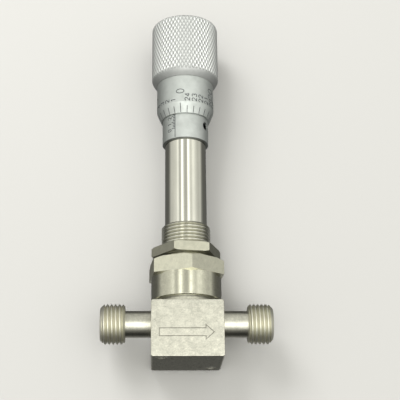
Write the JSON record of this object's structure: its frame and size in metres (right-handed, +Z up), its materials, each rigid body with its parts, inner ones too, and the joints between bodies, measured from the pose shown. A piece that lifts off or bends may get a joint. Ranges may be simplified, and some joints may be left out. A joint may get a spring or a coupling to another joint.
{
  "type": "needle valve",
  "caption": "Bellows-sealed fine metering needle valve: square steel body with threaded male ends, long bonnet tube and a knurled micrometer handle that sets the opening.",
  "frame": {"origin": "centre of the flat bottom of the body, under the stem axis", "axes": "+Z up along the stem towards the knob, +X downstream along the flow axis towards the outlet, -Y the face with the flow arrow"},
  "size_m": [0.0614, 0.0292, 0.1339],
  "materials": {
    "stainless_body": "bead-blasted and machined 316 stainless steel",
    "stainless_nut": "machined 316 stainless steel",
    "stainless_tube": "polished turned 316 stainless steel",
    "satin_chrome": "satin chrome-plated steel, engraved scale",
    "knurled_knob": "diamond-knurled satin plated aluminium",
    "black_oxide": "black-oxide alloy steel",
    "hardened_steel": "ground hardened steel",
    "bellows_alloy": "formed thin alloy sheet",
    "spring_wire": "drawn spring wire",
    "gasket_nickel": "silver-plated gasket",
    "bronze": "turned bronze"
  },
  "bodies": {
    "valve": {"valve_body": "stainless_body", "body_gasket": "gasket_nickel", "bellows_flange": "stainless_nut", "bellows": "bellows_alloy", "bonnet": "stainless_tube", "bonnet_nut": "stainless_nut", "panel_nut": "stainless_nut", "return_spring": "spring_wire", "guide_bush": "bronze", "micrometer_sleeve": "satin_chrome", "sleeve_set_screw": "black_oxide", "spindle_nut": "hardened_steel", "adjusting_nut": "hardened_steel"},
    "stem": {"valve_needle": "hardened_steel", "stem_rod": "stainless_nut", "bellows_cap": "stainless_nut", "spring_seat": "stainless_nut", "retaining_ring": "spring_wire", "thrust_button": "hardened_steel", "thrust_ball": "hardened_steel"},
    "handle": {"micrometer_spindle": "hardened_steel", "thimble": "satin_chrome", "thimble_washer": "hardened_steel", "spindle_cap_screw": "black_oxide", "knob": "knurled_knob", "knob_set_screws": "black_oxide"}
  },
  "joints": [
    {"name": "stem_lift", "type": "slide", "parent": "valve", "child": "stem", "axis": [0, 0, 1], "range_m": [-0.00574, 0.00061], "deforming": ["return_spring", "bellows"]},
    {"name": "knob_turn", "type": "hinge", "parent": "stem", "child": "handle", "pos_m": [0, 0, 0.12], "axis": [0, 0, 1], "range_deg": [-3254.4, 345.6]}
  ],
  "couplings": [
    {"joint": "stem_lift", "follows": "knob_turn", "m_per_rad": 0.00010106}
  ]
}
